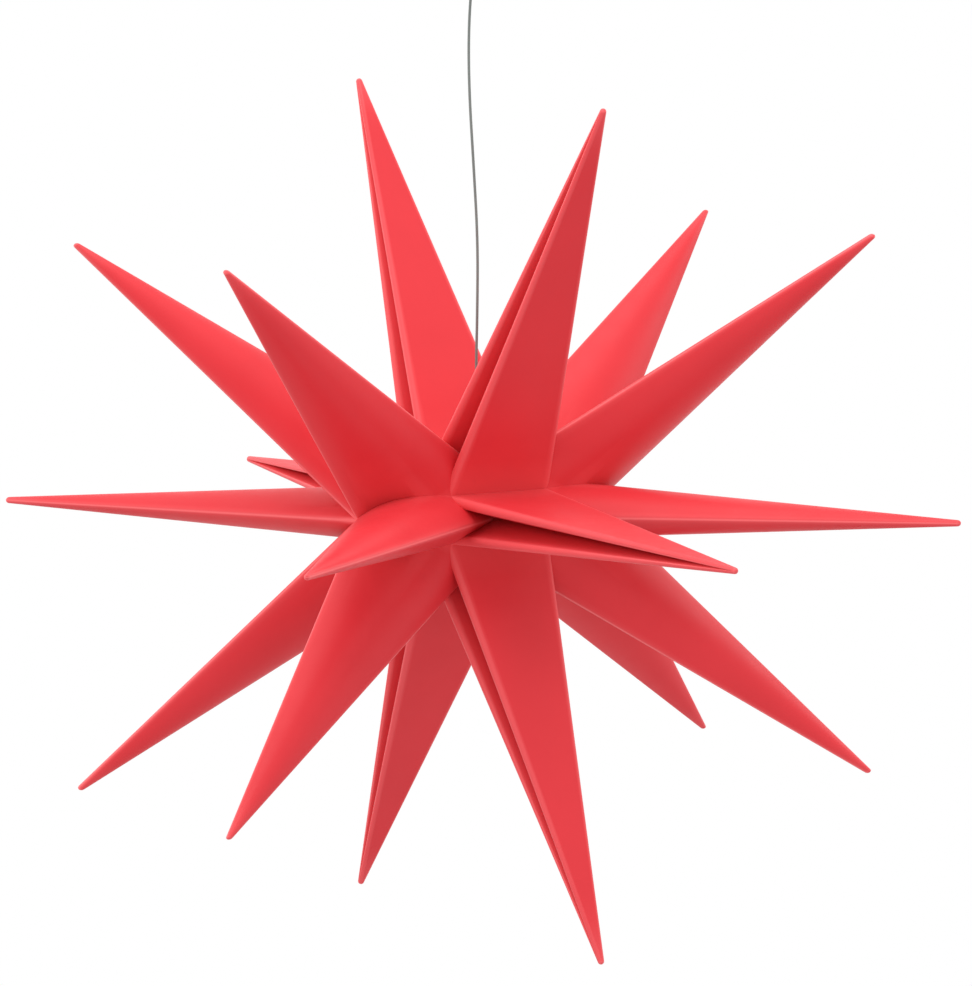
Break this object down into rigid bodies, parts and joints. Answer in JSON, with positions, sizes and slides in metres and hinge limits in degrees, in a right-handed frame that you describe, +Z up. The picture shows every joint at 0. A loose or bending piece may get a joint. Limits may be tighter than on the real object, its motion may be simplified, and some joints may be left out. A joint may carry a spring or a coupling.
{
  "type": "moravian star pendant",
  "caption": "Foldable plastic star pendant with long tapering points, hung by a thin lead from a round ceiling rose, with a small LED lamp inside",
  "frame": {"origin": "centre of the ceiling face of the mounting plate", "axes": "+Z up, square to the ceiling; +Y along the star's pleat axis, which is level; +X along the middle point of the first leaf, which is level"},
  "size_m": [0.57, 0.4356, 0.6278],
  "materials": {
    "star_plastic": "satin red, smooth, slightly soft",
    "rose_plastic": "satin white",
    "plate_steel": "zinc plated",
    "screw_steel": "bright plated",
    "driver_case": "fine matt white",
    "block_plastic": "matt off-white",
    "lead_sheath": "smooth grey",
    "stop_plastic": "matt white",
    "lamp_plastic": "matt white",
    "board_white": "white solder resist",
    "led_resin": "yellow phosphor resin",
    "diffuser_plastic": "frosted milky"
  },
  "bodies": {
    "ceiling_rose": {"ceiling_plate": "plate_steel", "rose_cup": "rose_plastic", "side_screws": "screw_steel", "led_driver": "driver_case", "terminal_block": "block_plastic", "swivel_ring": "rose_plastic"},
    "swivel": {"cord_swivel": "rose_plastic"},
    "hanging_lead": {"lead": "lead_sheath", "lead_stop": "stop_plastic", "lamp_housing": "lamp_plastic", "led_board": "board_white", "leds": "led_resin", "lamp_diffuser": "diffuser_plastic"},
    "star": {"lead_bush": "star_plastic", "seam_clips": "star_plastic", "leaf_1_upper_panel": "star_plastic", "leaf_1_lower_panel": "star_plastic", "leaf_2_upper_panel": "star_plastic", "leaf_2_lower_panel": "star_plastic", "leaf_3_upper_panel": "star_plastic", "leaf_3_lower_panel": "star_plastic", "leaf_4_upper_panel": "star_plastic", "leaf_4_lower_panel": "star_plastic", "leaf_5_upper_panel": "star_plastic", "leaf_5_lower_panel": "star_plastic", "leaf_6_upper_panel": "star_plastic", "leaf_6_lower_panel": "star_plastic"}
  },
  "joints": [
    {"name": "swivel_tilt", "type": "hinge", "parent": "ceiling_rose", "child": "swivel", "pos_m": [0, 0, -0.021], "axis": [1, 0, 0], "range_deg": [-20, 20]},
    {"name": "lead_bend", "type": "hinge", "parent": "swivel", "child": "hanging_lead", "pos_m": [0, 0, -0.037], "axis": [0, 1, 0], "range_deg": [-15, 15]},
    {"name": "star_turn", "type": "hinge", "parent": "hanging_lead", "child": "star", "pos_m": [0, 0, -0.351], "axis": [0, 0, 1], "range_deg": [-175, 175]}
  ]
}
